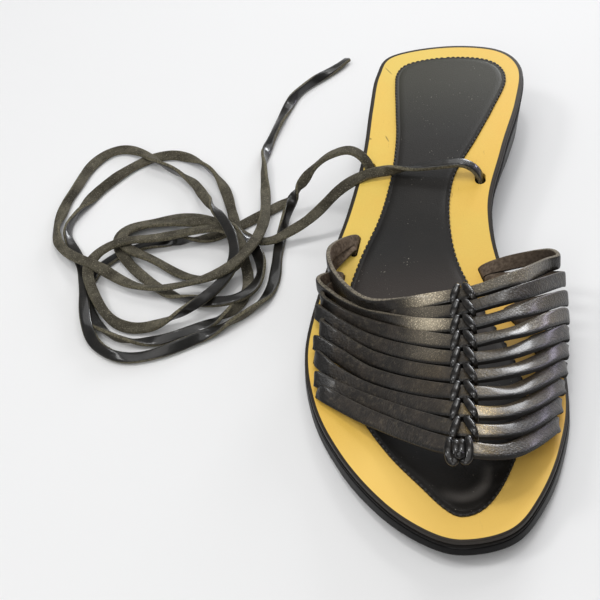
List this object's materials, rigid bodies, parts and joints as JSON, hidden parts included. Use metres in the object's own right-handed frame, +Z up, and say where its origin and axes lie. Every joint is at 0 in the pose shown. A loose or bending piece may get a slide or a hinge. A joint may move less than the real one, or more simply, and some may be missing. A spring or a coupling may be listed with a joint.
{
  "type": "gladiator sandal",
  "caption": "Flat gladiator sandal with a laced vamp of black leather strips, a tan insole, a black sock, a low wedge sole and long ankle ties that lie coiled beside it.",
  "frame": {"origin": "on the floor under the middle of the shoe's box, ankle ties left out", "axes": "+X to the inner (big-toe) side, +Y to the heel, -Y to the toe, +Z up"},
  "size_m": [0.208, 0.2854, 0.0363],
  "materials": {
    "sole": "glossy black painted edge",
    "midsole": "brown edge line",
    "insole": "smooth yellow tan",
    "sock": "dark satin",
    "strips": "semi-gloss, finely grained",
    "ties": "flat lace with raw edges"
  },
  "bodies": {
    "root": {"wedge_sole": "sole", "midsole": "midsole", "insole": "insole", "sock": "sock", "upper": "strips", "tie_inner_lead": "ties", "tie_outer_lead": "ties", "tie_free_end": "ties", "tie_pile": "ties"}
  },
  "joints": []
}
